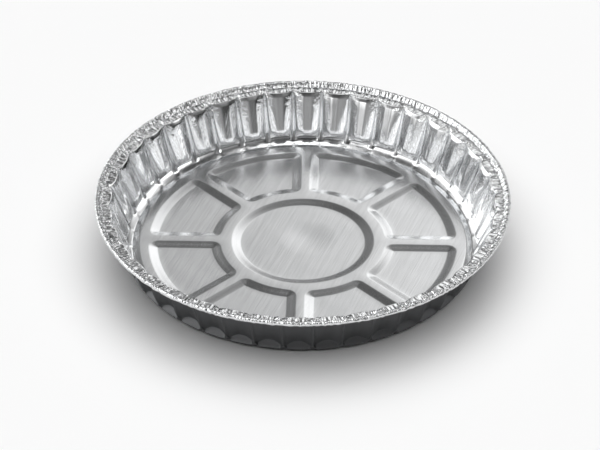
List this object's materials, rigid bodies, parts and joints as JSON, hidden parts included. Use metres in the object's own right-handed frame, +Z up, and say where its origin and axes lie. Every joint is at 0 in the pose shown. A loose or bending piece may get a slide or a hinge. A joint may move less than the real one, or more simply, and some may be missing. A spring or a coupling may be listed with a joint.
{
  "type": "foil pie tin",
  "caption": "Round pie tin of thin aluminium foil with an embossed ribbed floor, a fluted sloping wall, a flat ledge and a rolled lip.",
  "frame": {"origin": "centre of the underside, on the plane that the sunk panels, disc and groove of the floor stand on", "axes": "+Z up through the mouth of the tin, +X and +Y along two ribs of the floor"},
  "size_m": [0.23, 0.23, 0.0326],
  "materials": {
    "foil": "bright rolled foil, satin on the floor"
  },
  "bodies": {
    "root": {"pie_tin": "foil"}
  },
  "joints": []
}
